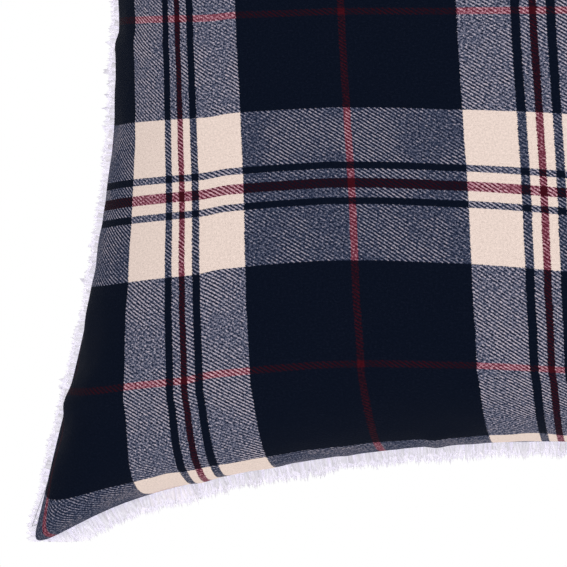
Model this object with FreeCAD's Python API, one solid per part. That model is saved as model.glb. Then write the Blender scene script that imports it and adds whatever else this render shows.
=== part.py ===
"""Square throw cushion: plaid face, pile back, zip in the bottom seam, stuffed inner pad.

Millimetres. X runs across the cushion, the plaid face looks along -Y, the pile back along +Y, and +Z is up.
The cushion stands on the two lower corners. The origin is on the ground, below its middle.
"""

import FreeCAD, Part
import math
import os

Vector = FreeCAD.Vector

# Cover, filled: the four sides pull in between the corners along circular arcs.
CORNER = 240.0          # from the middle to a corner, along X and along Z
BOW = 43.0              # how far the middle of each side is pulled in
HALF_THICK = 106.0      # from the seam plane to the top of either face
FACE_CLOTH = 1.2        # brushed twill
BACK_GROUND = 1.0       # knitted ground of the pile cloth
BACK_PILE = 8.0         # ground and pile together, at the middle of the back
PILE_PAST_SEAM = 4.0    # how far the pile stands out past the seam all round
SEAM_ALLOWANCE = 10.0
SEAM_GAP = 0.05         # half the space left between the two panels
EDGE_ANGLE = 86.0       # how near to square the panels meet the seam plane, degrees
FULLNESS = 0.72         # under 1, the faces are fuller than an ellipse
GRID = 21               # points across a panel's surface, each way

# Zip along the bottom seam. Rho is the distance from the centre of that seam's arc.
ZIP_HALF = 150.0        # half the length of the coil, along X
OPENING_HALF = 163.0
TAPE_HALF = 162.0
EDGE_Y = 5.3            # turned edge of each panel beside the coil
TAPE_Y = 8.5
TAPE_THICK = 0.6
TAPE_RHO = 2.8          # above the seam line
COIL_Y = (0.65, 3.1)
COIL_RHO = (0.9, 2.75)
COIL_PITCH_ROOM = 1.0   # between the coil and a stop
TOP_STOP = 2.5          # length of each top stop, along the zip
BOTTOM_STOP = 3.0
STITCH_Y = 6.8          # where each tape's stitch row starts
TACK_Y = 6.0            # half the length of a bar tack
TACK_FROM_END = (4.0, 1.0)
THREAD = 0.4
NEEDLE_INSET = 2.0      # from the folded cloth to the needle line

# Slider and pull.
SLIDER_HALF = 6.0
SLIDER_Y = 4.6
SLIDER_REST = 143.0     # its middle, along X, with the zip closed
PLATE_OUT = (-0.9, 0.6)
PLATE_IN = (3.6, 4.8)
FLANGE = 1.1
FLANGE_CLEAR = 0.25     # between a flange and the tape above it
PLATE_ROUND = 1.6
POST = (3.0, 0.45)      # length along the zip, half width
CROWN_HALF = 4.0
CROWN_Y = 1.1
CROWN_WALL = 0.9
CROWN_WINDOW = 1.6
PULL_LENGTH = 25.0
PULL_WIDTH = 7.0
PULL_THICK = 1.4
PULL_BAR = 0.6          # radius of the bar that hangs in the crown
PULL_ARM = 1.5
PULL_SHOULDER = 4.7     # from the bar to the blade, so that the blade swings clear of the crown
ARM_CLEAR = 0.4         # between an arm and the crown
PULL_ROUND = 1.8
PULL_HOLE = 1.6
HOLE_FROM_END = 4.0

# Inner pad.
PAD_INSET = 13.5
PAD_CLOTH = 0.6
PAD_CLEAR = 0.4
PAD_GAP = 0.05
CLOSING_HALF = 70.0
CLOSING_CLEAR = 0.1     # between the pad and its closing stitches
CLOSING_BAND = (5.0, 2.0)
LABEL = (4.0, 0.3, 20.0)
LABEL_INSET = 5.5
LABEL_DROP = 120.0      # below the middle


def side_radius(half):
    """The radius of the arcs that a square of this half size has for its sides."""
    return (half ** 2 + BOW ** 2) / (2 * BOW)


# Worked out from the above: the seam's arcs, the height of the middle, and the centre of the bottom arc.
RADIUS = side_radius(CORNER)
GROUND = CORNER + PILE_PAST_SEAM
ARC_Z = GROUND - CORNER + BOW - RADIUS


def pulled_in(half, along):
    """How far a side of a square of this half size is pulled in, this far from the side's middle."""
    radius = side_radius(half)
    return math.sqrt(radius ** 2 - along ** 2) - radius + BOW


def crowned(half, height, base, side, floor=0):
    """One crowned face over the pulled-in square, from base above the seam plane, and never under floor."""
    edge = math.radians(EDGE_ANGLE)
    rest = math.cos(edge)
    rows = []
    for i in range(GRID):
        across = edge * (2 * i / (GRID - 1) - 1)
        u = math.sin(across) / math.sin(edge)
        row = []
        for j in range(GRID):
            up = edge * (2 * j / (GRID - 1) - 1)
            v = math.sin(up) / math.sin(edge)
            rise = max(0, (math.cos(across) - rest) * (math.cos(up) - rest)) / (1 - rest) ** 2
            x = u * (half - pulled_in(half, half * v))
            z = v * (half - pulled_in(half, half * u))
            y = max(floor, base + (height - base) * rise ** FULLNESS)
            row.append(Vector(x, side * y, z + GROUND))
        rows.append(row)
    surface = Part.BSplineSurface()
    surface.interpolate(rows)
    return surface.toShape()


def closed(faces):
    """A solid from faces whose edges meet."""
    shell = Part.makeShell(faces)
    shell.sewShape()
    solid = Part.makeSolid(shell)
    if solid.Volume < 0:
        solid.reverse()
    return solid


def joined(edges, others):
    """The faces between two closed runs of four edges, each edge matched with the one beside it."""
    faces = []
    for edge in edges:
        beside = min(others, key=lambda other: (other.CenterOfMass - edge.CenterOfMass).Length)
        faces.append(Part.makeRuledSurface(edge, beside))
    return faces


def outline(half, y):
    """The pulled-in square as one wire of four arcs, in a plane at y."""
    corners = [Vector(x * half, y, z * half + GROUND) for x, z in ((-1, -1), (1, -1), (1, 1), (-1, 1))]
    reach = half - pulled_in(half, 0)
    middles = [Vector(x * reach, y, z * reach + GROUND) for x, z in ((0, -1), (1, 0), (0, 1), (-1, 0))]
    arcs = []
    for k, middle in enumerate(middles):
        arcs.append(Part.Arc(corners[k], middle, corners[(k + 1) % 4]).toShape())
    return Part.Wire(arcs)


def ring(outside, inside, y_low, y_high):
    """A flat frame between two outlines, from one y to another."""
    depth = Vector(0, y_high - y_low, 0)
    whole = Part.Face(outline(outside, y_low)).extrude(depth)
    return whole.cut(Part.Face(outline(inside, y_low)).extrude(depth))


def on_arc(rho, x):
    """A point in the plane y = 0, rho above the bottom seam's line where that line is x from the middle."""
    angle = math.asin(x / RADIUS)
    return Vector((RADIUS + rho) * math.sin(angle), 0, ARC_Z + (RADIUS + rho) * math.cos(angle))


def arc_bar(rho, ys, xs):
    """A bar that follows the bottom seam: between two heights above it, two y values and two x values."""
    middle = (xs[0] + xs[1]) / 2
    low = Part.Arc(on_arc(rho[0], xs[0]), on_arc(rho[0], middle), on_arc(rho[0], xs[1])).toShape()
    high = Part.Arc(on_arc(rho[1], xs[1]), on_arc(rho[1], middle), on_arc(rho[1], xs[0])).toShape()
    ends = [Part.makeLine(on_arc(rho[0], x), on_arc(rho[1], x)) for x in (xs[1], xs[0])]
    face = Part.Face(Part.Wire([low, ends[0], high, ends[1]]))
    face.translate(Vector(0, ys[0], 0))
    return face.extrude(Vector(0, ys[1] - ys[0], 0))


def both_ways(low, high):
    """The range from low to high and its mirror image, as two ranges."""
    return [(low, high), (-high, -low)]


def box(x, y, z):
    """A box from three ranges."""
    corner = Vector(x[0], y[0], z[0])
    return Part.makeBox(x[1] - x[0], y[1] - y[0], z[1] - z[0], corner)


def panel(side, half, outer_half, cloth, thick):
    """One side of the cover with its seam allowance turned in, open along the bottom where the zip is."""
    outer = crowned(outer_half, HALF_THICK, SEAM_GAP, side)
    inner = crowned(half - cloth, HALF_THICK - thick, SEAM_GAP, side, SEAM_GAP + cloth)
    raw_edge = [outline(half - SEAM_ALLOWANCE, side * y).Edges for y in (SEAM_GAP, SEAM_GAP + cloth)]
    faces = [outer, inner]
    faces += joined(outer.Edges, raw_edge[0])
    faces += joined(raw_edge[0], raw_edge[1])
    faces += joined(raw_edge[1], inner.Edges)
    slot_rho = (-PILE_PAST_SEAM * 3, SEAM_ALLOWANCE * 2)
    slot = arc_bar(slot_rho, (-EDGE_Y, EDGE_Y), (-OPENING_HALF, OPENING_HALF))
    return closed(faces).cut(slot)


def front_panel():
    return panel(-1, CORNER, CORNER, FACE_CLOTH, FACE_CLOTH)


def back_panel():
    return panel(1, CORNER, CORNER + PILE_PAST_SEAM, BACK_GROUND, BACK_PILE)


def thread_ring(half, y):
    """A thread line laid round the allowances, left out where the zip is."""
    line = ring(half, half - THREAD, y - THREAD / 2, y + THREAD / 2)
    gap = (-TAPE_HALF - 1, TAPE_HALF + 1)
    return line.cut(arc_bar((-SEAM_ALLOWANCE, SEAM_ALLOWANCE * 2), (-EDGE_Y, EDGE_Y), gap))


def seam_thread():
    """The needle line on the face's allowance and the bobbin line on the back's."""
    inset = CORNER - FACE_CLOTH - NEEDLE_INSET
    return Part.makeCompound([
        thread_ring(inset, -SEAM_GAP - FACE_CLOTH - THREAD),
        thread_ring(inset, SEAM_GAP + BACK_GROUND + THREAD),
    ])


def overlock_thread():
    """The overlock chain round the raw edges of both allowances."""
    inset = CORNER - SEAM_ALLOWANCE - 2 * THREAD
    edge = ring(inset, inset - 2 * THREAD, -FACE_CLOTH, BACK_GROUND)
    gap = (-TAPE_HALF - 1, TAPE_HALF + 1)
    return edge.cut(arc_bar((-SEAM_ALLOWANCE, SEAM_ALLOWANCE * 2), (-EDGE_Y, EDGE_Y), gap))


def zip_tape(side):
    ys = sorted((side * COIL_Y[0] * 1.5, side * TAPE_Y))
    return arc_bar((TAPE_RHO, TAPE_RHO + TAPE_THICK), ys, (-TAPE_HALF, TAPE_HALF))


def zip_coil(side):
    ys = sorted((side * COIL_Y[0], side * COIL_Y[1]))
    return arc_bar(COIL_RHO, ys, (-ZIP_HALF, ZIP_HALF))


def zip_top_stops():
    """One crimped stop on each tape, past the closed end."""
    start = ZIP_HALF + COIL_PITCH_ROOM
    return Part.makeCompound([arc_bar(COIL_RHO, ys, (start, start + TOP_STOP)) for ys in both_ways(*COIL_Y)])


def zip_bottom_stop():
    """One staple across both tapes, past the far end."""
    start = -ZIP_HALF - COIL_PITCH_ROOM
    return arc_bar(COIL_RHO, (-COIL_Y[1], COIL_Y[1]), (start - BOTTOM_STOP, start))


def zip_stitching():
    """The thread lines that hold the tapes to the panels, on the inside."""
    low = TAPE_RHO + TAPE_THICK
    rows = both_ways(STITCH_Y, STITCH_Y + THREAD)
    return Part.makeCompound([arc_bar((low, low + THREAD), ys, (-TAPE_HALF, TAPE_HALF)) for ys in rows])


def bar_tacks():
    """A dense bar of stitches across the tapes at each end of the opening."""
    low = TAPE_RHO + TAPE_THICK
    ends = both_ways(TAPE_HALF - TACK_FROM_END[0], TAPE_HALF - TACK_FROM_END[1])
    return Part.makeCompound([arc_bar((low, low + 2 * THREAD), (-TACK_Y, TACK_Y), xs) for xs in ends])


def at_slider(shape):
    """Moves a shape made at the top of the seam's arc to where the slider rests."""
    angle = math.degrees(math.asin(SLIDER_REST / RADIUS))
    shape.rotate(Vector(0, 0, ARC_Z), Vector(0, 1, 0), angle)
    return shape


def slider_body():
    """Outer plate with its side flanges, inner plate, and the post between the two rows of coil."""
    top = ARC_Z + RADIUS
    along = (-SLIDER_HALF, SLIDER_HALF)
    outer = box(along, (-SLIDER_Y, SLIDER_Y), (top + PLATE_OUT[0], top + PLATE_OUT[1]))
    for ys in both_ways(SLIDER_Y - FLANGE, SLIDER_Y):
        outer = outer.fuse(box(along, ys, (top + PLATE_OUT[1], top + TAPE_RHO - FLANGE_CLEAR)))
    inner = box(along, (-SLIDER_Y, SLIDER_Y), (top + PLATE_IN[0], top + PLATE_IN[1]))
    front = (SLIDER_HALF - POST[0], SLIDER_HALF)
    post = box(front, (-POST[1], POST[1]), (top + PLATE_OUT[1], top + PLATE_IN[0]))
    body = outer.fuse(post).fuse(inner).removeSplitter()
    rounded = [e for e in body.Edges if is_plate_corner(e)]
    return at_slider(body.makeFillet(PLATE_ROUND, rounded))


def is_plate_corner(edge):
    """Whether an edge is an upright corner of a slider plate."""
    ends = [v.Point for v in edge.Vertexes]
    upright = len(ends) == 2 and (ends[0] - ends[1]).cross(Vector(0, 0, 1)).Length < 1e-6
    at_corner = upright and abs(abs(ends[0].x) - SLIDER_HALF) < 1e-6
    return at_corner and abs(abs(ends[0].y) - SLIDER_Y) < 1e-6


def slider_crown():
    """The arch on the outer plate that the pull hangs on."""
    top = ARC_Z + RADIUS + PLATE_OUT[0]
    low = top - CROWN_WINDOW - CROWN_WALL
    arch = box((-CROWN_HALF, CROWN_HALF), (-CROWN_Y, CROWN_Y), (low, top))
    lower = [e for e in arch.Edges if is_level(e, low) and abs(e.CenterOfMass.x) > 1]
    arch = arch.makeFillet(CROWN_WALL, lower)
    inside = CROWN_HALF - CROWN_WALL
    window = box((-inside, inside), (-CROWN_Y, CROWN_Y), (top - CROWN_WINDOW, top))
    return at_slider(arch.cut(window))


def is_level(edge, z):
    """Whether an edge lies across the crown at this height."""
    ends = [v.Point for v in edge.Vertexes]
    return abs(ends[0].z - z) < 1e-6 and abs(ends[1].z - z) < 1e-6 and abs(ends[0].x - ends[1].x) < 1e-6


def pull_pivot():
    """The axis of the pull's bar where the slider rests."""
    drop = PLATE_OUT[0] - CROWN_WINDOW / 2
    return on_arc(drop, SLIDER_REST)


def pull_tab():
    """A bar in the crown, two arms beside it, and a rounded blade with a hole, hanging straight down."""
    pivot = pull_pivot()
    inner = CROWN_Y + ARM_CLEAR
    outer = inner + PULL_ARM
    bar = Part.makeCylinder(PULL_BAR, 2 * outer, pivot - Vector(0, outer, 0), Vector(0, 1, 0))
    half = PULL_THICK / 2
    arms = [box((-half, half), ys, (-PULL_SHOULDER - PULL_ROUND, 0)) for ys in both_ways(inner, outer)]
    blade = box((-half, half), (-PULL_WIDTH / 2, PULL_WIDTH / 2), (-PULL_LENGTH, -PULL_SHOULDER))
    corners = [e for e in blade.Edges if abs(e.Length - PULL_THICK) < 1e-6]
    blade = blade.makeFillet(PULL_ROUND, corners)
    start = Vector(-PULL_THICK, 0, HOLE_FROM_END - PULL_LENGTH)
    hole = Part.makeCylinder(PULL_HOLE, 2 * PULL_THICK, start, Vector(1, 0, 0))
    blade = blade.cut(hole)
    for arm in arms:
        blade = blade.fuse(arm)
    blade.translate(pivot)
    return blade.fuse(bar).removeSplitter()


def pad_size(side):
    """Half size and height of the inner pad on one side."""
    cloth = FACE_CLOTH if side < 0 else BACK_PILE
    return CORNER - PAD_INSET, HALF_THICK - cloth - PAD_CLEAR


def pad_shell(side):
    half, height = pad_size(side)
    outer = crowned(half, height, PAD_GAP, side)
    inner = crowned(half - PAD_CLOTH, height - PAD_CLOTH, PAD_GAP, side)
    return closed([outer, inner] + joined(outer.Edges, inner.Edges))


def pad_fill():
    """The stuffing: one crowned block that fills the pad."""
    faces = []
    for side in (-1, 1):
        half, height = pad_size(side)
        faces.append(crowned(half - PAD_CLOTH - PAD_GAP, height - PAD_CLOTH - PAD_GAP, 2 * PAD_GAP, side))
    return closed(faces + joined(faces[0].Edges, faces[1].Edges))


def pad_closing_stitch():
    """The whipped stitches that close the pad after stuffing, along the middle of its top edge."""
    half = CORNER - PAD_INSET
    low = half + CLOSING_CLEAR
    line = ring(low + THREAD, low, -PAD_CLOTH, PAD_CLOTH)
    under, deep = CLOSING_BAND
    top = (GROUND + half - BOW - under, GROUND + half)
    return line.common(box((-CLOSING_HALF, CLOSING_HALF), (-deep, deep), top))


def care_label():
    """A blank label sewn flat to the inside of the back panel's left allowance."""
    wide, thick, high = LABEL
    start = -CORNER + pulled_in(CORNER, LABEL_DROP) + LABEL_INSET
    low = SEAM_GAP + BACK_GROUND + SEAM_GAP
    middle = GROUND - LABEL_DROP
    return box((start, start + wide), (low, low + thick), (middle - high / 2, middle + high / 2))


NODES = {
    "front_panel": front_panel,
    "back_panel": back_panel,
    "seam_thread": seam_thread,
    "overlock_thread": overlock_thread,
    "zip_tape_front": lambda: zip_tape(-1),
    "zip_tape_back": lambda: zip_tape(1),
    "zip_coil_front": lambda: zip_coil(-1),
    "zip_coil_back": lambda: zip_coil(1),
    "zip_top_stops": zip_top_stops,
    "zip_bottom_stop": zip_bottom_stop,
    "zip_stitching": zip_stitching,
    "bar_tacks": bar_tacks,
    "slider_body": slider_body,
    "slider_crown": slider_crown,
    "pull_tab": pull_tab,
    "pad_shell_front": lambda: pad_shell(-1),
    "pad_shell_back": lambda: pad_shell(1),
    "pad_fill": pad_fill,
    "pad_closing_stitch": pad_closing_stitch,
    "care_label": care_label,
}

os.makedirs("parts", exist_ok=True)
for name, make in NODES.items():
    shape = make()
    shape.exportStep("parts/" + name + ".step")
    low, high = shape.BoundBox.ZMin, shape.BoundBox.ZMax
    state = "valid" if shape.isValid() else "INVALID"
    print(name, state, len(shape.Solids), "solids,", round(shape.Volume), "mm3, z", round(low, 2), round(high, 2))
pivot = pull_pivot()
print("seam arc centre z", round(ARC_Z, 3), "radius", round(RADIUS, 3))
print("pull pivot", round(pivot.x, 3), round(pivot.z, 3))
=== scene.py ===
"""Square throw cushion: brushed plaid face, pile back that fringes past the seam, zip in the bottom seam.

Metres. X runs across the cushion, the plaid face looks along -Y, and +Z is up.
"""

import math

import bpy
import numpy as np
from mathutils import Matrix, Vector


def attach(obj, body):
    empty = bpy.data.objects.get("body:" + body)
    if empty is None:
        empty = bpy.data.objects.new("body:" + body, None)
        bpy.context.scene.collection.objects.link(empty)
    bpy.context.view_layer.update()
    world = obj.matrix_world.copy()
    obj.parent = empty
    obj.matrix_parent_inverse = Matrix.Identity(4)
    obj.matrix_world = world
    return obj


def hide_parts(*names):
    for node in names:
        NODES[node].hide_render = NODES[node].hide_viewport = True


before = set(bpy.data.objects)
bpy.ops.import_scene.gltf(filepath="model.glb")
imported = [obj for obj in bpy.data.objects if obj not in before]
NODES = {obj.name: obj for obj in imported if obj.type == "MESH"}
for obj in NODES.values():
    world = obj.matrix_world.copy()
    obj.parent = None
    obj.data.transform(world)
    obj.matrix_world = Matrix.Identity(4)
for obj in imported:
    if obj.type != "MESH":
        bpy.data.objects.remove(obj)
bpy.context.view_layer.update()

# The cover, cut as flat squares and then filled.
FLAT = 0.508                    # between seams, each way
CORNER = 0.240                  # from the middle to a corner, filled
BOW = 0.043                     # how far the middle of each side is pulled in
MIDDLE = 0.244                  # height of the cushion's middle
FACE_HIGH = 0.106               # from the seam plane to the top of the plaid
GROUND_HIGH = 0.0985            # and to the knitted ground of the back, under its pile
CELLS = 96                      # squares across the cloth, each way
FRAMES = 10                     # the cloth is taken while it still swells, before it overfills
FACE_CLOTH = 0.0012
GROUND_CLOTH = 0.0010
SEAM_GAP = 0.0001               # half the space left between the two panels at the seam
OPENING = 0.163                 # half the zip's opening
EDGE_Y = 0.0053                 # turned edge of each panel beside the coil
ZIP_END = 0.004                 # over which the cloth turns back at each end of the opening
EAR_DROOP = (0.0022, 0.0060)    # how far a corner moves inwards along X, and outwards along Z
EAR_REACH = 0.034
CUT_SHARE = 0.55                # between even strain along the filled surface, 0, and as it was cut, 1
DRIFT_ACROSS = 0.010            # how far filling shifts the cloth across, half way out, most at middle height
DRIFT_UP = 0.009                # and up or down, most where it is half way out both ways
SIDE_RADIUS = (CORNER ** 2 + BOW ** 2) / (2 * BOW)
ARC_Z = MIDDLE - CORNER + BOW - SIDE_RADIUS


# Building nodes ------------------------------------------------------------------------------------------

def place(tree, kind, settings=None, inputs=None):
    """Adds a node, sets it up, fills or links its sockets, and gives back its outputs."""
    node = tree.nodes.new(kind)
    for name, value in (settings or {}).items():
        if name == "stops":
            set_stops(node.color_ramp, value)
        else:
            setattr(node, name, value)
    for name, value in (inputs or {}).items():
        value = getattr(value, "socket", value)
        if isinstance(value, bpy.types.NodeSocket):
            tree.links.new(value, node.inputs[name])
        else:
            node.inputs[name].default_value = value
    return node.outputs


def set_stops(ramp, stops):
    """Fills a colour ramp from (place, colour) pairs; a third entry names the interpolation."""
    ramp.interpolation = stops[0][2] if len(stops[0]) > 2 else "LINEAR"
    while len(ramp.elements) > 1:
        ramp.elements.remove(ramp.elements[-1])
    for k, stop in enumerate(stops):
        element = ramp.elements[0] if k == 0 else ramp.elements.new(stop[0])
        element.position = stop[0]
        element.color = stop[1]


class Value:
    """A number that varies over a surface. Arithmetic on it adds Math nodes."""

    def __init__(self, tree, socket):
        self.tree = tree
        self.socket = socket

    def math(self, operation, *others):
        inputs = dict(enumerate((self,) + others))
        return Value(self.tree, place(self.tree, "ShaderNodeMath", {"operation": operation}, inputs)[0])

    def __add__(self, other):
        return self.math("ADD", other)

    def __sub__(self, other):
        return self.math("SUBTRACT", other)

    def __mul__(self, other):
        return self.math("MULTIPLY", other)

    def __truediv__(self, other):
        return self.math("DIVIDE", other)

    def __rsub__(self, other):
        return (self * -1).math("ADD", other)

    __radd__ = __add__
    __rmul__ = __mul__

    def fraction(self):
        return self.math("FRACT")

    def size(self):
        return self.math("ABSOLUTE")

    def step(self, low, high, to_low=0.0, to_high=1.0):
        """Runs smoothly from to_low at low to to_high at high."""
        sockets = {0: self, 1: low, 2: high, 3: to_low, 4: to_high}
        settings = {"interpolation_type": "SMOOTHSTEP"}
        return Value(self.tree, place(self.tree, "ShaderNodeMapRange", settings, sockets)[0])


class Finish:
    """A material and its node tree."""

    def __init__(self, name):
        self.material = bpy.data.materials.new(name)
        self.material.use_nodes = True
        self.tree = self.material.node_tree
        self.tree.nodes.clear()
        self.output = self.tree.nodes.new("ShaderNodeOutputMaterial")
        self.shader = self.tree.nodes.new("ShaderNodeBsdfPrincipled")
        self.tree.links.new(self.shader.outputs[0], self.output.inputs["Surface"])

    def node(self, kind, settings=None, inputs=None):
        return place(self.tree, kind, settings, inputs)

    def here(self):
        """Object coordinates."""
        return self.node("ShaderNodeTexCoord")["Object"]

    def cloth(self):
        """Across and up in flat cloth millimetres, from its UV map."""
        apart = self.node("ShaderNodeSeparateXYZ", None, {0: self.node("ShaderNodeUVMap")["UV"]})
        return Value(self.tree, apart[0]) * 1000, Value(self.tree, apart[1]) * 1000

    def vector(self, x, y, z=0.0):
        return self.node("ShaderNodeCombineXYZ", None, {0: x, 1: y, 2: z})[0]

    def noise(self, vector, scale, detail=2.0, rough=0.5, warp=0.0):
        inputs = {"Vector": vector, "Scale": scale, "Detail": detail, "Roughness": rough, "Distortion": warp}
        return Value(self.tree, self.node("ShaderNodeTexNoise", None, inputs)["Fac"])

    def ramp(self, value, stops):
        return self.node("ShaderNodeValToRGB", {"stops": stops}, {0: value})["Color"]

    def mix(self, factor, one, other, blend="MIX"):
        settings = {"data_type": "RGBA", "blend_type": blend}
        return self.node("ShaderNodeMix", settings, {0: factor, 6: one, 7: other})[2]

    def power(self, colour, exponent):
        return self.node("ShaderNodeGamma", None, {"Color": colour, "Gamma": exponent})[0]

    def lightness(self, colour):
        return Value(self.tree, self.node("ShaderNodeRGBToBW", None, {0: colour})[0])

    def grey(self, value):
        return self.node("ShaderNodeCombineColor", None, {0: value, 1: value, 2: value})[0]

    def bump(self, height, distance, strength=1.0):
        inputs = {"Height": height, "Distance": distance, "Strength": strength}
        self.set(Normal=self.node("ShaderNodeBump", None, inputs)[0])

    def set(self, **sockets):
        """Fills or links the shader's own sockets; an underscore stands for a space."""
        for name, value in sockets.items():
            value = getattr(value, "socket", value)
            socket = self.shader.inputs[name.replace("_", " ")]
            if isinstance(value, bpy.types.NodeSocket):
                self.tree.links.new(value, socket)
            else:
                socket.default_value = value


def shade(red, green, blue):
    """A display colour, 0 to 255, as the linear colour that a node holds."""
    parts = [c / 255 for c in (red, green, blue)]
    return tuple(p / 12.92 if p <= 0.04045 else ((p + 0.055) / 1.055) ** 2.4 for p in parts) + (1.0,)


# Finishes -------------------------------------------------------------------------------------------------

NAVY = shade(9, 16, 31)
CREAM = shade(238, 218, 208)
RED = shade(62, 12, 22)

# Stripe widths in millimetres of flat cloth, from the middle of the thin red line.
THIN = 3.1
WARP_BAND = (22.5, 3.3, 3.8, 3.7, 3.8, 3.3, 22.5)
WARP_GROUND = 49.8
WARP_START = -255.8
WARP_LEAN = 0.051
WEFT_BAND = (26.3, 3.3, 4.9, 4.6, 4.9, 3.3, 26.3)
WEFT_GROUND = 48.3
WEFT_START = -177.0
WEFT_LEAN = 0.018
TWILL_ACROSS = 2.6              # four warp ends
TWILL_UP = 1.8                  # four weft picks


def sett(ground, band):
    """One repeat of the stripes as constant ramp stops, and its width."""
    runs = [(THIN / 2, RED), (ground - THIN / 2, NAVY)]
    runs += list(zip(band, (CREAM, NAVY, CREAM, RED, CREAM, NAVY, CREAM)))
    runs += [(ground - THIN / 2, NAVY), (THIN / 2, RED)]
    whole = sum(width for width, _ in runs)
    stops, at = [], 0.0
    for width, colour in runs:
        stops.append((at / whole, colour, "CONSTANT"))
        at += width
    return stops, whole


def plaid_twill():
    """Brushed two-up two-down twill: warp and weft stripes whose colours multiply where they cross, darker
    than the dyes alone, partly for the navy nap veiling the cream and partly as painted shade between the
    threads.
    """
    f = Finish("plaid_twill")
    across, up = f.cloth()
    flat = f.vector(across, up)
    dashes = f.noise(f.vector(across * 0.55, up * 2.0), 1.0, 2, 0.6) - 0.5
    fibre = f.noise(flat, 0.95, 4, 0.7) - 0.5
    fine = f.noise(flat, 2.2, 2, 0.6) - 0.5
    cloudy = f.noise(flat, 0.035, 3, 0.55)
    wander = f.noise(flat, 0.02, 1) - 0.5
    warp_at = across + up * WARP_LEAN + wander * 0.8
    weft_at = up - across * WEFT_LEAN + wander * 0.5
    warp_stops, warp_whole = sett(WARP_GROUND, WARP_BAND)
    weft_stops, weft_whole = sett(WEFT_GROUND, WEFT_BAND)
    warp = f.ramp(((warp_at + dashes * 1.9 - WARP_START) / warp_whole).fraction(), warp_stops)
    weft = f.ramp(((weft_at + fine * 1.2 - WEFT_START) / weft_whole).fraction(), weft_stops)
    ridge = ((warp_at / TWILL_ACROSS + (weft_at + fine * 0.5) / TWILL_UP).fraction() - 0.5).size() * 2
    clear = cloudy.step(0.38, 0.62, 0.3, 0.95)
    mixed = (ridge - 0.5) * clear * 0.85 + fibre * 1.7 + fine * 0.9 + dashes * 0.7 + 0.55
    shown = mixed.step(0.05, 0.95, 0.08, 0.92)
    # Warp and weft colours multiply, weighted by how much of each shows. This is darker than their average:
    # partly the nap veiling the cream, partly painted shade between threads.
    yarn_and_shade = f.mix(1.0, f.power(warp, shown), f.power(weft, 1 - shown), "MULTIPLY")
    crossing = (f.lightness(warp) - f.lightness(weft)).size()
    violet = f.mix(crossing, yarn_and_shade, f.mix(1.0, yarn_and_shade, (1.03, 1.0, 1.19, 1.0), "MULTIPLY"))
    nap = (fibre * 0.6 + dashes * 0.4 + cloudy * 0.1).step(0.0, 0.5, 0.0, 0.05)
    hazy = f.mix(nap, violet, shade(110, 116, 142))
    # Random tone fibre by fibre, and painted light and shade: the fibre noise that raises the bump also makes
    # the colour lighter where it stands high and darker where it sinks.
    light = f.grey(fibre * 0.7 + fine * 0.45 + 0.95)
    f.set(Base_Color=f.mix(1.0, hazy, light, "MULTIPLY"), Roughness=0.95, Specular_IOR_Level=0.03)
    f.bump(ridge * clear * 0.3 + fibre * 1.2 + dashes * 0.5, 0.0004, 0.8)
    return f.material


def pile_cloth(name, glow):
    """Long white pile, with painted shade: a little darker and more violet towards each strand's root, where
    the pile shades itself. The glow is painted light that stands for light passing through the fibres.
    """
    f = Finish(name)
    along = Value(f.tree, f.node("ShaderNodeAttribute", {"attribute_name": "along"})["Fac"])
    clump = f.noise(f.here(), 260, 2, 0.5)
    tint = f.mix(clump.step(0.3, 0.7), shade(217, 214, 225), shade(225, 222, 231))
    # Painted shade: each strand runs from a darker violet at its root to its own tint by six tenths of its
    # length.
    root_shaded = f.mix(along.step(0.0, 0.6), shade(206, 204, 222), tint)
    f.set(Base_Color=root_shaded, Roughness=0.9, Specular_IOR_Level=0.1)
    # Painted light: the glow brightens the pile as light passing through its fibres would.
    f.set(Emission_Color=shade(240, 236, 243), Emission_Strength=glow)
    f.bump(f.noise(f.here(), 900, 3, 0.7), 0.0004, 0.6)
    return f.material


def thread(name, colour):
    """Twisted spun thread."""
    f = Finish(name)
    twist = f.noise(f.here(), 1500, 2, 0.6)
    f.set(Base_Color=f.mix(twist.step(0.35, 0.65), colour, shade(150, 150, 160)), Roughness=0.7)
    f.bump(twist, 0.0002, 0.7)
    return f.material


def woven(name, light, dark, pitch):
    """Fine plain weave on Object coordinates."""
    f = Finish(name)
    apart = f.node("ShaderNodeSeparateXYZ", None, {0: f.here()})
    ends = (Value(f.tree, apart[0]) / pitch).math("SINE")
    picks = (Value(f.tree, apart[1]) / pitch).math("SINE") + (Value(f.tree, apart[2]) / pitch).math("SINE")
    over = ends * picks * 0.5 + 0.5
    fuzz = f.noise(f.here(), 900, 2, 0.6)
    f.set(Base_Color=f.mix((over * 0.6 + fuzz * 0.4).step(0.25, 0.75), dark, light), Roughness=0.85)
    f.bump(over, 0.00015, 0.7)
    return f.material


def zip_coil():
    """Dyed nylon monofilament."""
    f = Finish("zip_coil")
    worn = f.noise(f.here(), 400, 2, 0.5)
    f.set(Base_Color=f.mix(worn.step(0.3, 0.7), shade(20, 26, 42), shade(42, 50, 70)))
    f.set(Roughness=worn.step(0.2, 0.8, 0.28, 0.45), Specular_IOR_Level=0.5)
    f.bump(worn, 0.00005, 0.4)
    return f.material


def zip_metal():
    """Plated zinc, brushed, duller where it is handled."""
    f = Finish("zip_metal")
    handled = f.noise(f.here(), 240, 3, 0.6)
    drawn_out = f.node("ShaderNodeMapping", None, {0: f.here(), "Scale": (1, 1, 0.08)})[0]
    scratch = f.noise(drawn_out, 2600, 2, 0.5)
    plating = f.mix(handled.step(0.3, 0.7), shade(168, 168, 172), shade(196, 196, 200))
    f.set(Base_Color=plating, Metallic=1.0)
    f.set(Roughness=(handled * 0.5 + scratch * 0.5).step(0.3, 0.7, 0.24, 0.45))
    f.bump(scratch, 0.00003, 0.4)
    return f.material


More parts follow.
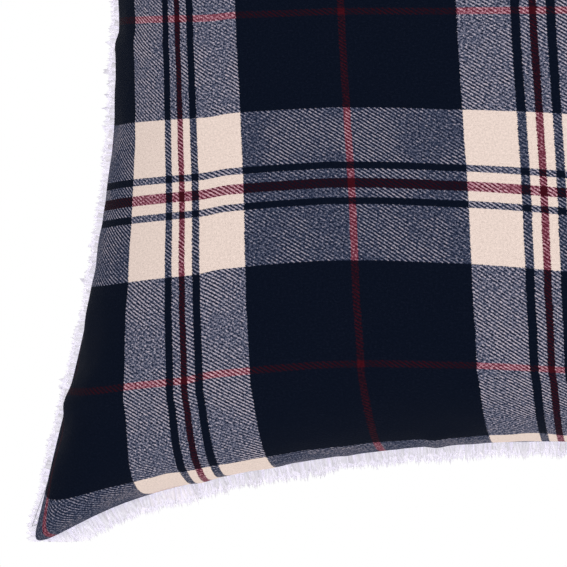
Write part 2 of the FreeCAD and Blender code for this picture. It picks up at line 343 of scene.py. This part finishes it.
def fibre_fill():
    """Loose white polyester fibre."""
    f = Finish("polyester_fill")
    lock = f.noise(f.here(), 60, 4, 0.65)
    tone = f.mix(lock.step(0.3, 0.7), shade(224, 224, 228), shade(244, 244, 246))
    f.set(Base_Color=tone, Roughness=0.95)
    f.bump(lock, 0.003, 0.6)
    return f.material


FINISHES = {
    "plaid_twill": plaid_twill(),
    "pile_cloth": pile_cloth("pile_cloth", 0.31),
    "sewing_thread": thread("sewing_thread", shade(205, 203, 212)),
    "zip_tape": woven("zip_tape", shade(54, 62, 84), shade(24, 30, 48), 0.00016),
    "zip_coil": zip_coil(),
    "zip_metal": zip_metal(),
    "pad_cotton": woven("pad_cotton", shade(242, 240, 235), shade(216, 213, 206), 0.00022),
    "polyester_fill": fibre_fill(),
    "label_satin": woven("label_satin", shade(244, 243, 240), shade(226, 224, 220), 0.00012),
}
FRINGE_PILE = pile_cloth("fringe_pile", 0.40)   # thinner than the back's pile, so more light passes through


# The cover as filled cloth -------------------------------------------------------------------------------

def new_piece(name, points, edges, faces):
    """An object with a new mesh, at the origin."""
    mesh = bpy.data.meshes.new(name)
    mesh.from_pydata(points, edges, faces)
    mesh.update()
    piece = bpy.data.objects.new(name, mesh)
    bpy.context.scene.collection.objects.link(piece)
    return piece


def pulled_in(along):
    """How far a side is pulled in, this far from its middle."""
    return np.sqrt(SIDE_RADIUS ** 2 - along ** 2) - SIDE_RADIUS + BOW


def cover_grid():
    """Points of both flat squares, sewn round the edge, and the faces between them, as one closed bag."""
    ids, points, faces = {}, [], []
    for side in (0, 1):
        for j in range(CELLS + 1):
            for i in range(CELLS + 1):
                rim = i in (0, CELLS) or j in (0, CELLS)
                if side and rim:
                    ids[1, i, j] = ids[0, i, j]
                    continue
                u, v = i / CELLS - 0.5, j / CELLS - 0.5
                puff = 0.0 if rim else 0.004 + 0.02 * math.sqrt((1 - 4 * u * u) * (1 - 4 * v * v))
                ids[side, i, j] = len(points)
                points.append((u * FLAT, puff if side else -puff, v * FLAT))
    for side in (0, 1):
        for j in range(CELLS):
            for i in range(CELLS):
                ring = [ids[side, i, j], ids[side, i + 1, j], ids[side, i + 1, j + 1], ids[side, i, j + 1]]
                faces.append(ring[::-1] if side else ring)
    return ids, points, faces


CLOTH = {
    "quality": 10, "mass": 0.1, "air_damping": 8,
    "tension_stiffness": 40, "compression_stiffness": 12, "shear_stiffness": 5, "bending_stiffness": 0.5,
    "tension_damping": 15, "compression_damping": 15, "shear_damping": 10, "bending_damping": 1,
    "use_pressure": True, "uniform_pressure_force": 8,
    "use_pressure_volume": True, "target_volume": 0.022, "pressure_factor": 1,
}


def fill_cover():
    """Swells the flat bag with Blender's cloth, and gives each side's points as an array, row by row."""
    ids, points, faces = cover_grid()
    bag = new_piece("flat_cover", points, [], faces)
    cloth = bag.modifiers.new("Cloth", "CLOTH")
    s = cloth.settings
    for name, value in CLOTH.items():
        setattr(s, name, value)
    s.effector_weights.gravity = 0
    cloth.collision_settings.use_collision = False
    cloth.point_cache.frame_start, cloth.point_cache.frame_end = 1, FRAMES
    for step in range(1, FRAMES + 1):
        bpy.context.scene.frame_set(step)
    done = bag.evaluated_get(bpy.context.evaluated_depsgraph_get()).data
    flat = np.zeros(len(done.vertices) * 3, np.float32)
    done.vertices.foreach_get("co", flat)
    flat = flat.reshape(-1, 3).astype(float)
    order = range(CELLS + 1)
    sides = [np.array([[flat[ids[side, i, j]] for i in order] for j in order]) for side in (0, 1)]
    bpy.data.objects.remove(bag)
    bpy.context.scene.frame_set(1)
    return sides


def carried(rim_shift):
    """Spreads a shift known on the rim of the grid over all of it, straight across from side to side."""
    n = CELLS
    v, u = np.meshgrid(np.linspace(0, 1, n + 1), np.linspace(0, 1, n + 1), indexing="ij")
    u, v = u[..., None], v[..., None]
    d = rim_shift
    down_up = (1 - v) * d[0][None, :] + v * d[n][None, :]
    left_right = (1 - u) * d[:, 0][:, None] + u * d[:, n][:, None]
    corners = (1 - u) * (1 - v) * d[0, 0] + u * (1 - v) * d[0, n] + (1 - u) * v * d[n, 0] + u * v * d[n, n]
    return down_up + left_right - corners


def blurred(field, reach):
    """A field over the grid, averaged with a bell of this reach in squares."""
    span = np.arange(-3 * reach, 3 * reach + 1)
    bell = np.exp(-(span / reach) ** 2 / 2)
    bell /= bell.sum()
    for axis in (0, 1):
        field = np.moveaxis(field, axis, -1)
        wide = np.pad(field, [(0, 0), (3 * reach, 3 * reach)], mode="reflect", reflect_type="odd")
        field = np.stack([np.convolve(row, bell, mode="valid") for row in wide])
        field = np.moveaxis(field, -1, axis)
    return field


def calmed(points):
    """Evens out how creases drag the cloth sideways, away from the rim, and leaves their depth."""
    rim_cells, reach = 10, 6
    at = np.minimum(np.arange(CELLS + 1), CELLS - np.arange(CELLS + 1))
    inner = np.clip(np.minimum(at[:, None], at[None, :]) / rim_cells, 0, 1)
    for part in (0, 2):
        points[..., part] += (blurred(points[..., part], reach) - points[..., part]) * inner
    return points


def fitted(side_points, side):
    """Brings one side's rim onto the sewn outline and its middle to its height, and keeps its creases."""
    p = side_points.copy()
    n = CELLS
    grow = CORNER / np.mean(np.abs(p[[0, 0, n, n], [0, n, 0, n]][:, [0, 2]]))
    target = p.copy()
    target[..., 1] = 0.0
    for row in (0, n):
        along = np.clip(p[row, :, 0] * grow, -CORNER, CORNER)
        target[row, :, 0] = along
        target[row, :, 2] = (-1 if row == 0 else 1) * (CORNER - pulled_in(along))
    for column in (0, n):
        along = np.clip(p[:, column, 2] * grow, -CORNER, CORNER)
        target[:, column, 2] = along
        target[:, column, 0] = (-1 if column == 0 else 1) * (CORNER - pulled_in(along))
    p = calmed(p + carried(target - p))
    height = FACE_HIGH if side < 0 else GROUND_HIGH
    p[..., 1] *= height / np.abs(p[..., 1]).max()
    p[..., 2] += MIDDLE
    return p


def round_corners(points):
    """Rounds the four corners of the rim, as a turned corner is."""
    n = CELLS
    share, width = 0.13, 0.7
    for corner_j, step_j in ((0, 1), (n, -1)):
        for corner_i, step_i in ((0, 1), (n, -1)):
            tip = points[corner_j, corner_i].copy()
            inside = points[corner_j + 4 * step_j, corner_i + 4 * step_i]
            for a in range(4):
                for b in range(4):
                    near = math.exp(-((a * a + b * b) / width))
                    j, i = corner_j + a * step_j, corner_i + b * step_i
                    points[j, i] += (inside - tip) * share * near
    return points


def droop_corners(points):
    """Lets the four ears hang out past the arcs, away from the cushion's middle."""
    x, z = points[..., 0], points[..., 2] - MIDDLE
    away = np.hypot(np.abs(x) - CORNER, np.abs(z) - CORNER)
    near = np.exp(-(away / EAR_REACH) ** 2)
    points[..., 0] -= np.sign(x) * EAR_DROOP[0] * near
    points[..., 2] += np.sign(z) * EAR_DROOP[1] * near
    return points


def open_for_zip(points, side):
    """Turns the cloth back from the seam where the zip is, and keeps it just under the tapes."""
    along = np.abs(points[..., 0])
    angle = np.arctan2(points[..., 0], points[..., 2] - ARC_Z)
    rho = np.hypot(points[..., 0], points[..., 2] - ARC_Z) - SIDE_RADIUS
    inside = np.clip((OPENING + ZIP_END - along) / ZIP_END, 0, 1)
    low = (points[..., 2] < MIDDLE - 0.1) & (np.abs(points[..., 1]) < 0.012)
    y = np.abs(points[..., 1])
    new_y = np.where(low, np.maximum(y, EDGE_Y + (y * 0.2)) * inside + y * (1 - inside), y)
    most = 0.0012 + (new_y - EDGE_Y) * 0.15
    new_rho = np.where(low & (inside > 0), np.minimum(rho, most) * inside + rho * (1 - inside), rho)
    points[..., 1] = side * new_y
    points[..., 0] = (SIDE_RADIUS + new_rho) * np.sin(angle)
    points[..., 2] = ARC_Z + (SIDE_RADIUS + new_rho) * np.cos(angle)
    return points


def even_run(points, axis):
    """Where each point lies across the flat cloth, if its rows or columns are strained evenly."""
    steps = np.linalg.norm(np.diff(points, axis=axis), axis=-1)
    run = np.cumsum(steps, axis=axis)
    start = np.zeros_like(np.take(run, [0], axis=axis))
    run = np.concatenate([start, run], axis=axis)
    return (run / np.take(run, [-1], axis=axis) - 0.5) * FLAT


def cloth_map(points):
    """Where each point lies on the flat cloth, across and up, with the strain that filling leaves in it."""
    cut = np.linspace(-FLAT / 2, FLAT / 2, CELLS + 1)
    cut_across, cut_up = np.meshgrid(cut, cut)
    across = even_run(points, 1) * (1 - CUT_SHARE) + cut_across * CUT_SHARE
    up = even_run(points, 0) * (1 - CUT_SHARE) + cut_up * CUT_SHARE
    turn = 2 * math.pi / FLAT
    shift_across = DRIFT_ACROSS * np.sin(across * turn) * np.cos(up * turn / 2)
    shift_up = DRIFT_UP * np.sin(across * turn) * np.sin(up * turn)
    return np.stack([across - shift_across, up - shift_up], -1)


def sheet_piece(name, points, side):
    """A mesh of one side, its UV map in metres of flat cloth."""
    n = CELLS
    faces = []
    for j in range(n):
        for i in range(n):
            a = j * (n + 1) + i
            ring = [a, a + 1, a + n + 2, a + n + 1]
            faces.append(ring if side < 0 else ring[::-1])
    piece = new_piece(name, points.reshape(-1, 3).tolist(), [], faces)
    mesh = piece.data
    flat = cloth_map(points).reshape(-1, 2)
    corners = np.zeros(len(mesh.loops), np.int32)
    mesh.loops.foreach_get("vertex_index", corners)
    layer = mesh.uv_layers.new(name="flat_cloth")
    layer.data.foreach_set("uv", flat[corners].astype(np.float32).ravel())
    mesh.polygons.foreach_set("use_smooth", [True] * len(mesh.polygons))
    return piece


def settle(piece):
    """Applies a piece's modifiers by taking its evaluated mesh."""
    shown = piece.evaluated_get(bpy.context.evaluated_depsgraph_get())
    mesh = bpy.data.meshes.new_from_object(shown)
    mesh.name = piece.name
    piece.modifiers.clear()
    piece.data = mesh
    return piece


def finish_piece(piece, body, slot, *stands_for, finish=None):
    """Gives a piece its material, the finish given or else the one for its slot, puts it in its body, and
    hides the CAD nodes that it stands for.
    """
    piece.data.materials.clear()
    piece.data.materials.append(finish or FINISHES[slot])
    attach(piece, body)
    if stands_for:
        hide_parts(*stands_for)
    return piece


def thicken(piece, thickness, levels):
    """Subdivides a sheet and gives it its thickness, inwards."""
    if levels:
        rounder = piece.modifiers.new("Subdivision", "SUBSURF")
        rounder.levels = rounder.render_levels = levels
    wall = piece.modifiers.new("Solidify", "SOLIDIFY")
    wall.thickness = thickness
    wall.offset = -1
    return settle(piece)


sides = fill_cover()
front, back = (round_corners(fitted(points, side)) for points, side in zip(sides, (-1, 1)))
front, back = (droop_corners(points) for points in (front, back))
front, back = open_for_zip(front, -1), open_for_zip(back, 1)
front[..., 1] -= SEAM_GAP
back[..., 1] += SEAM_GAP

plaid_face = thicken(sheet_piece("plaid_face", front, -1), FACE_CLOTH, 1)
finish_piece(plaid_face, "cover", "plaid_twill", "front_panel")

pile_ground = thicken(sheet_piece("pile_ground", back, 1), GROUND_CLOTH, 1)
finish_piece(pile_ground, "cover", "pile_cloth", "back_panel")


# Pile strands ---------------------------------------------------------------------------------------------

def start_tree(name, sockets):
    """A Geometry Nodes tree with a geometry input and output and these named inputs."""
    tree = bpy.data.node_groups.new(name, "GeometryNodeTree")
    tree.interface.new_socket("Geometry", in_out="INPUT", socket_type="NodeSocketGeometry")
    for label, kind in sockets:
        tree.interface.new_socket(label, in_out="INPUT", socket_type="NodeSocket" + kind)
    tree.interface.new_socket("Geometry", in_out="OUTPUT", socket_type="NodeSocketGeometry")
    return tree, tree.nodes.new("NodeGroupInput").outputs, tree.nodes.new("NodeGroupOutput").inputs


def grow(base, tree, values, name):
    """Runs a tree over a base mesh and keeps the result as a plain mesh piece."""
    modifier = base.modifiers.new(tree.name, "NODES")
    modifier.node_group = tree
    for item in tree.interface.items_tree:
        if item.in_out == "INPUT" and item.name in values:
            modifier[item.identifier] = values[item.name]
    base.name = name
    base.update_tag()
    return settle(base)


STRAND_MIDDLE = 0.62            # height of a strand's bend, for a strand one unit long
STRAND_LEAN = 2.6               # how far its tip leans over, for each unit of curl
TIP_THIN = 0.72                 # how much of its width a strand loses by its tip
LUMPS = 150.0                   # clumps to a metre, roughly


def pile_tree():
    """Curved tapering strands scattered over a surface, longer and shorter in clumps."""
    sockets = [("Density", "Float"), ("Length", "Float"), ("Width", "Float"), ("Spread", "Float")]
    sockets += [("Curl", "Float"), ("Clump", "Float"), ("Taper", "Float"), ("Seed", "Int")]
    sockets += [("Floor", "Float"), ("Material", "Material")]
    tree, given, end = start_tree("pile_strands", sockets)

    def add(kind, settings=None, inputs=None):
        return place(tree, kind, settings, inputs)

    def maths(operation, *values):
        return add("ShaderNodeMath", {"operation": operation}, dict(enumerate(values)))[0]

    scatter = {"Mesh": given["Geometry"], "Density": given["Density"], "Seed": given["Seed"]}
    points = add("GeometryNodeDistributePointsOnFaces", None, scatter)
    bend = add("ShaderNodeCombineXYZ", None, {0: given["Curl"], 1: 0.0, 2: STRAND_MIDDLE})[0]
    leaning = maths("MULTIPLY", given["Curl"], STRAND_LEAN)
    over = add("ShaderNodeCombineXYZ", None, {0: leaning, 1: 0.0, 2: 1.0})[0]
    path = {"Resolution": 3, "Start": (0, 0, 0), "Middle": bend, "End": over}
    line = add("GeometryNodeCurveQuadraticBezier", None, path)[0]
    part = add("GeometryNodeSplineParameter")["Factor"]
    marked = add("GeometryNodeStoreNamedAttribute", {"data_type": "FLOAT", "domain": "POINT"},
                 {"Geometry": line, "Name": "along", "Value": part})[0]
    taper = maths("SUBTRACT", 1.0, maths("MULTIPLY", maths("POWER", part, given["Taper"]), TIP_THIN))
    tapered = add("GeometryNodeSetCurveRadius", None, {"Curve": marked, "Radius": taper})[0]
    ring = add("GeometryNodeCurvePrimitiveCircle", {"mode": "RADIUS"}, {"Resolution": 3, "Radius": 0.5})[0]
    strand = add("GeometryNodeCurveToMesh", None, {"Curve": tapered, "Profile Curve": ring})[0]
    seed = given["Seed"]
    furthest = {0: (-1, -1, -math.pi), 1: (1, 1, math.pi), 8: seed}
    lean = add("FunctionNodeRandomValue", {"data_type": "FLOAT_VECTOR"}, furthest)[0]
    spread = add("ShaderNodeCombineXYZ", None, {0: given["Spread"], 1: given["Spread"], 2: 1.0})[0]
    leaned = add("ShaderNodeVectorMath", {"operation": "MULTIPLY"}, {0: lean, 1: spread})[0]
    turn = add("FunctionNodeEulerToRotation", None, {0: leaned})[0]
    aim = add("FunctionNodeRotateRotation", {"rotation_space": "LOCAL"},
              {"Rotation": points["Rotation"], "Rotate By": turn})[0]
    lumps = add("ShaderNodeTexNoise", None, {"Scale": LUMPS, "Detail": 1.0})[0]
    shortest, longest = maths("SUBTRACT", 1.0, given["Clump"]), maths("ADD", 1.0, given["Clump"])
    lumpy = add("ShaderNodeMapRange", None, {0: lumps, 1: 0.3, 2: 0.7, 3: shortest, 4: longest})[0]
    vary = add("FunctionNodeRandomValue", {"data_type": "FLOAT"}, {2: 0.82, 3: 1.05, 8: seed})[1]
    long = maths("MULTIPLY", given["Length"], maths("MULTIPLY", vary, lumpy))
    scale = add("ShaderNodeCombineXYZ", None, {0: given["Width"], 1: given["Width"], 2: long})[0]
    spots = {"Points": points["Points"], "Instance": strand, "Rotation": aim, "Scale": scale}
    standing = add("GeometryNodeInstanceOnPoints", None, spots)[0]
    real = add("GeometryNodeRealizeInstances", None, {0: standing})[0]
    where = add("ShaderNodeSeparateXYZ", None, {0: add("GeometryNodeInputPosition")[0]})
    high = maths("MAXIMUM", where[2], given["Floor"])
    lifted = add("ShaderNodeCombineXYZ", None, {0: where[0], 1: where[1], 2: high})
    placed = add("GeometryNodeSetPosition", None, {"Geometry": real, "Position": lifted[0]})[0]
    smooth = add("GeometryNodeSetShadeSmooth", None, {0: placed})[0]
    painted = add("GeometryNodeSetMaterial", None, {"Geometry": smooth, "Material": given["Material"]})[0]
    tree.links.new(painted, end[0])
    return tree


PILE = pile_tree()

# The band that the fringe grows from: how far behind the seam, and how far out from it.
FRINGE_BAND = ((0.0003, -0.0006), (0.0100, -0.0014), (0.0200, -0.0042))
ZIP_CLEAR = 0.0006              # from the panel's turned edge to the first strands, along the zip
FLOOR = 0.0002                  # no strand reaches lower


def strip(name, run):
    """A narrow band behind the seam along a run of rim points, for the fringe to grow out from."""
    points, faces = [], []
    for x, z, nx, nz in run:
        behind_zip = EDGE_Y + ZIP_CLEAR if abs(x) < OPENING and nz < 0 else 0.0
        for depth, out in FRINGE_BAND:
            points.append((x + nx * out, depth + behind_zip, z + nz * out))
    for k in range(len(run) - 1):
        for row in (0, 1):
            a = k * 3 + row
            faces.append((a, a + 1, a + 4, a + 3))
    return new_piece(name, points, [], faces)


def rim_runs():
    """The four sides of the rim as runs of (x, z, outward x, outward z), clockwise from the lower left."""
    n = CELLS
    loops = [back[0, :, :], back[:, n, :], back[n, ::-1, :], back[::-1, 0, :]]
    runs = []
    for points in loops:
        x, z = points[:, 0], points[:, 2]
        dx, dz = np.gradient(x), np.gradient(z)
        size = np.hypot(dx, dz)
        runs.append(list(zip(x, z, dz / size, -dx / size)))
    return runs


FRINGE_NAMES = ("fringe_bottom", "fringe_right", "fringe_top", "fringe_left")
FRINGE_LONG = (0.0078, 0.0046, 0.0056, 0.0042)
FINE = {"Density": 0.80e6, "Width": 0.0010, "Spread": 0.20, "Curl": 0.20, "Clump": 0.16, "Taper": 2.0}
DEEP = {"Density": 0.42e6, "Width": 0.0027, "Spread": 0.16, "Curl": 0.15, "Clump": 0.14, "Taper": 3.0}
FRINGE_LAYERS = (("", FINE, 1.0), ("_deep", DEEP, 0.86))    # each layer's share of the fringe's length
fringes = []
for seed, (name, longest, run) in enumerate(zip(FRINGE_NAMES, FRINGE_LONG, rim_runs())):
    for layer, settings, share in FRINGE_LAYERS:
        settings = dict(settings, Length=longest * share, Seed=seed + 3, Floor=FLOOR)
        settings["Material"] = FRINGE_PILE
        piece = grow(strip(name + layer, run), PILE, settings, name + layer)
        finish_piece(piece, "cover", "pile_cloth", finish=FRINGE_PILE)
        fringes.append(piece)


def quarter(name, i_low, i_high, j_low, j_high):
    """A quarter of the back ground as a bare sheet, for its pile to grow from."""
    part_points = back[j_low:j_high + 1, i_low:i_high + 1]
    rows, columns = part_points.shape[:2]
    faces = []
    for j in range(rows - 1):
        for i in range(columns - 1):
            a = j * columns + i
            faces.append((a, a + columns, a + columns + 1, a + 1))
    return new_piece(name, part_points.reshape(-1, 3).tolist(), [], faces)


HALF = CELLS // 2
RIM = 2                         # squares next to the seam, which the fringe covers
QUARTERS = (("pile_lower_left", RIM, HALF, RIM, HALF), ("pile_lower_right", HALF, CELLS - RIM, RIM, HALF),
            ("pile_upper_left", RIM, HALF, HALF, CELLS - RIM),
            ("pile_upper_right", HALF, CELLS - RIM, HALF, CELLS - RIM))
piles = []
for seed, (name, *part) in enumerate(QUARTERS):
    base = quarter(name, *part)
    settings = {"Density": 1.15e5, "Length": 0.0078, "Width": 0.0030, "Spread": 0.85}
    settings.update({"Curl": 0.75, "Clump": 0.2, "Taper": 2.0, "Seed": seed + 20, "Floor": FLOOR})
    settings["Material"] = FINISHES["pile_cloth"]
    piece = grow(base, PILE, settings, name)
    finish_piece(piece, "cover", "pile_cloth")
    piles.append(piece)


# Inner pad ------------------------------------------------------------------------------------------------

PAD_INSET = 0.0135              # the pad's corners, in from the cover's
PAD_FACE_HIGH = 0.1040          # from the seam plane to the top of the pad, on the plaid side
PAD_BACK_HIGH = 0.0970
PAD_SLACK = 0.985               # keeps the pad just clear of the cloth


def inner_pad():
    """The stuffed pad inside the cover, a little smaller than it all round."""
    keep = (CORNER - PAD_INSET) / CORNER
    n = CELLS
    ids, points, faces = {}, [], []
    step = 2
    for side, grid, high in ((0, front, PAD_FACE_HIGH / FACE_HIGH), (1, back, PAD_BACK_HIGH / GROUND_HIGH)):
        for j in range(0, n + 1, step):
            for i in range(0, n + 1, step):
                rim = i in (0, n) or j in (0, n)
                if side and rim:
                    ids[1, i, j] = ids[0, i, j]
                    continue
                x, y, z = grid[j, i]
                y = 0.0 if rim else y * high * PAD_SLACK
                ids[side, i, j] = len(points)
                points.append((x * keep, y, (z - MIDDLE) * keep + MIDDLE))
        for j in range(0, n, step):
            for i in range(0, n, step):
                around = ((i, j), (i + step, j), (i + step, j + step), (i, j + step))
                ring = [ids[side, a, b] for a, b in around]
                faces.append(ring[::-1] if side else ring)
    pad = new_piece("inner_pad", points, [], faces)
    pad.data.polygons.foreach_set("use_smooth", [True] * len(faces))
    return pad


pad = inner_pad()
finish_piece(pad, "cover", "pad_cotton", "pad_shell_front", "pad_shell_back", "pad_fill")


# Zip ------------------------------------------------------------------------------------------------------

def seam_line(name, rho, y, reach, pieces=240):
    """A line of points that follows the bottom seam, for teeth or stitches to sit along."""
    angle = math.asin(reach / SIDE_RADIUS)
    points = []
    for k in range(pieces + 1):
        a = angle * (2 * k / pieces - 1)
        points.append(((SIDE_RADIUS + rho) * math.sin(a), y, ARC_Z + (SIDE_RADIUS + rho) * math.cos(a)))
    return new_piece(name, points, [(k, k + 1) for k in range(pieces)], [])


def loops_tree():
    """Oval wire loops one after another along a line, each leaning a little, as a coil's turns do."""
    sockets = [("Pitch", "Float"), ("Wide", "Float"), ("Tall", "Float"), ("Wire", "Float"), ("Lean", "Float")]
    tree, given, end = start_tree("coil_loops", sockets + [("Material", "Material")])

    def add(kind, settings=None, inputs=None):
        return place(tree, kind, settings, inputs)

    line = add("GeometryNodeMeshToCurve", None, {0: given["Geometry"]})[0]
    apart = {"Curve": line, "Length": given["Pitch"]}
    spaced = add("GeometryNodeResampleCurve", {"mode": "LENGTH"}, apart)[0]
    oval = add("GeometryNodeCurvePrimitiveCircle", {"mode": "RADIUS"}, {"Resolution": 8, "Radius": 0.5})[0]
    shape = add("ShaderNodeCombineXYZ", None, {0: given["Wide"], 1: given["Tall"], 2: 1.0})[0]
    ring = add("GeometryNodeTransform", None, {"Geometry": oval, "Scale": shape})[0]
    round_wire = {"Resolution": 5, "Radius": given["Wire"]}
    wire = add("GeometryNodeCurvePrimitiveCircle", {"mode": "RADIUS"}, round_wire)[0]
    turn = add("GeometryNodeCurveToMesh", None, {"Curve": ring, "Profile Curve": wire})[0]
    tangent = add("GeometryNodeInputTangent")[0]
    facing = add("FunctionNodeAlignRotationToVector", {"axis": "Z"}, {"Vector": tangent})[0]
    upright = add("FunctionNodeAlignRotationToVector", {"axis": "X", "pivot_axis": "Z"},
                  {"Rotation": facing, "Vector": (0, 1, 0)})[0]
    lean = add("ShaderNodeCombineXYZ", None, {0: given["Lean"], 1: 0.0, 2: 0.0})[0]
    tilt = add("FunctionNodeEulerToRotation", None, {0: lean})[0]
    turned = {"Rotation": upright, "Rotate By": tilt}
    aim = add("FunctionNodeRotateRotation", {"rotation_space": "LOCAL"}, turned)[0]
    along = {"Points": spaced, "Instance": turn, "Rotation": aim}
    standing = add("GeometryNodeInstanceOnPoints", None, along)[0]
    real = add("GeometryNodeRealizeInstances", None, {0: standing})[0]
    smooth = add("GeometryNodeSetShadeSmooth", None, {0: real})[0]
    painted = add("GeometryNodeSetMaterial", None, {"Geometry": smooth, "Material": given["Material"]})[0]
    tree.links.new(painted, end[0])
    return tree


LOOPS = loops_tree()
COIL_Y = 0.001875               # middle of each row of coil, from the seam plane
COIL_OUT = 0.001825             # and from the seam line
COIL_REACH = 0.1495
STITCH_Y = 0.0070
STITCH_OUT = 0.0036
STITCH_REACH = 0.161
COIL = {"Pitch": 0.00125, "Wide": 0.0021, "Tall": 0.0015, "Wire": 0.00017, "Lean": 0.25}
for name, y, node in (("coil_front", -COIL_Y, "zip_coil_front"), ("coil_back", COIL_Y, "zip_coil_back")):
    settings = {**COIL, "Material": FINISHES["zip_coil"]}
    coil = grow(seam_line(name, COIL_OUT, y, COIL_REACH), LOOPS, settings, name)
    finish_piece(coil, "cover", "zip_coil", node)

STITCH = {"Pitch": 0.0024, "Wide": 0.0004, "Tall": 0.0018, "Wire": 0.0002, "Lean": 1.45}
for name, y in (("stitch_row_front", -STITCH_Y), ("stitch_row_back", STITCH_Y)):
    settings = {**STITCH, "Material": FINISHES["sewing_thread"]}
    row = grow(seam_line(name, STITCH_OUT, y, STITCH_REACH), LOOPS, settings, name)
    finish_piece(row, "cover", "sewing_thread")
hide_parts("zip_stitching")


# Carried-over nodes ---------------------------------------------------------------------------------------

CARRIED = {
    "seam_thread": "sewing_thread", "overlock_thread": "sewing_thread", "bar_tacks": "sewing_thread",
    "pad_closing_stitch": "sewing_thread", "zip_tape_front": "zip_tape", "zip_tape_back": "zip_tape",
    "zip_top_stops": "zip_metal", "zip_bottom_stop": "zip_metal", "slider_body": "zip_metal",
    "slider_crown": "zip_metal", "pull_tab": "zip_metal", "care_label": "label_satin",
}
for name, slot in CARRIED.items():
    NODES[name].data.materials.clear()
    NODES[name].data.materials.append(FINISHES[slot])

fringes + piles


# Floor, light and camera ----------------------------------------------------------------------------------

FAR = 6.0                       # half the floor's side
AMBIENT = 0.6                   # light from all round; the surround itself shows as plain white
MIDDLE_SPOT = (0, 0, MIDDLE)


def floor():
    """A bright even white square under the cushion."""
    f = Finish("floor")
    f.set(Base_Color=(0, 0, 0, 1), Specular_IOR_Level=0.0)
    f.set(Emission_Color=(1, 1, 1, 1), Emission_Strength=1.0)
    corners = [(-FAR, -FAR, 0), (FAR, -FAR, 0), (FAR, FAR, 0), (-FAR, FAR, 0)]
    square = new_piece("floor", corners, [], [(0, 1, 2, 3)])
    square.data.materials.append(f.material)


floor()

world = bpy.data.worlds.new("studio")
bpy.context.scene.world = world
world.use_nodes = True
surround = world.node_tree.nodes["Background"]
surround.inputs["Color"].default_value = (1, 1, 1, 1)
seen = place(world.node_tree, "ShaderNodeLightPath")["Is Camera Ray"]
strength = Value(world.node_tree, seen) * (1 - AMBIENT) + AMBIENT
world.node_tree.links.new(strength.socket, surround.inputs["Strength"])


def soft_light(name, at, towards, size, power):
    """A square area light that faces a spot."""
    lamp = bpy.data.lights.new(name, "AREA")
    lamp.size, lamp.energy = size, power
    light = bpy.data.objects.new(name, lamp)
    light.location = at
    aim = [b - a for a, b in zip(at, towards)]
    light.rotation_euler = Vector(aim).to_track_quat("-Z", "Y").to_euler()
    bpy.context.scene.collection.objects.link(light)


soft_light("key", (1.9, -1.5, 1.3), MIDDLE_SPOT, 0.8, 17)
soft_light("fill", (-1.2, -2.2, 0.9), MIDDLE_SPOT, 1.0, 11)
soft_light("back_light", (-0.8, 2.3, 1.7), MIDDLE_SPOT, 0.8, 14)

CAMERA_AWAY = 2.3               # from the seam plane
FIELD = 0.2534                  # width that is seen at the seam plane
AIM_X, AIM_Z = -0.1236, -0.1272     # from the middle of the cushion
camera_data = bpy.data.cameras.new("camera")
camera = bpy.data.objects.new("camera", camera_data)
bpy.context.scene.collection.objects.link(camera)
camera.location = (0, -CAMERA_AWAY, MIDDLE)
camera.rotation_euler = Vector((AIM_X, CAMERA_AWAY, AIM_Z)).to_track_quat("-Z", "Y").to_euler()
reach = math.sqrt(AIM_X ** 2 + AIM_Z ** 2 + CAMERA_AWAY ** 2)
SENSOR = 36
camera_data.sensor_width = SENSOR
camera_data.lens = SENSOR * reach / FIELD
camera_data.clip_start, camera_data.clip_end = 0.05, 60
bpy.context.scene.camera = camera
bpy.context.scene.view_settings.view_transform = "Standard"
bpy.context.scene.view_settings.look = "None"
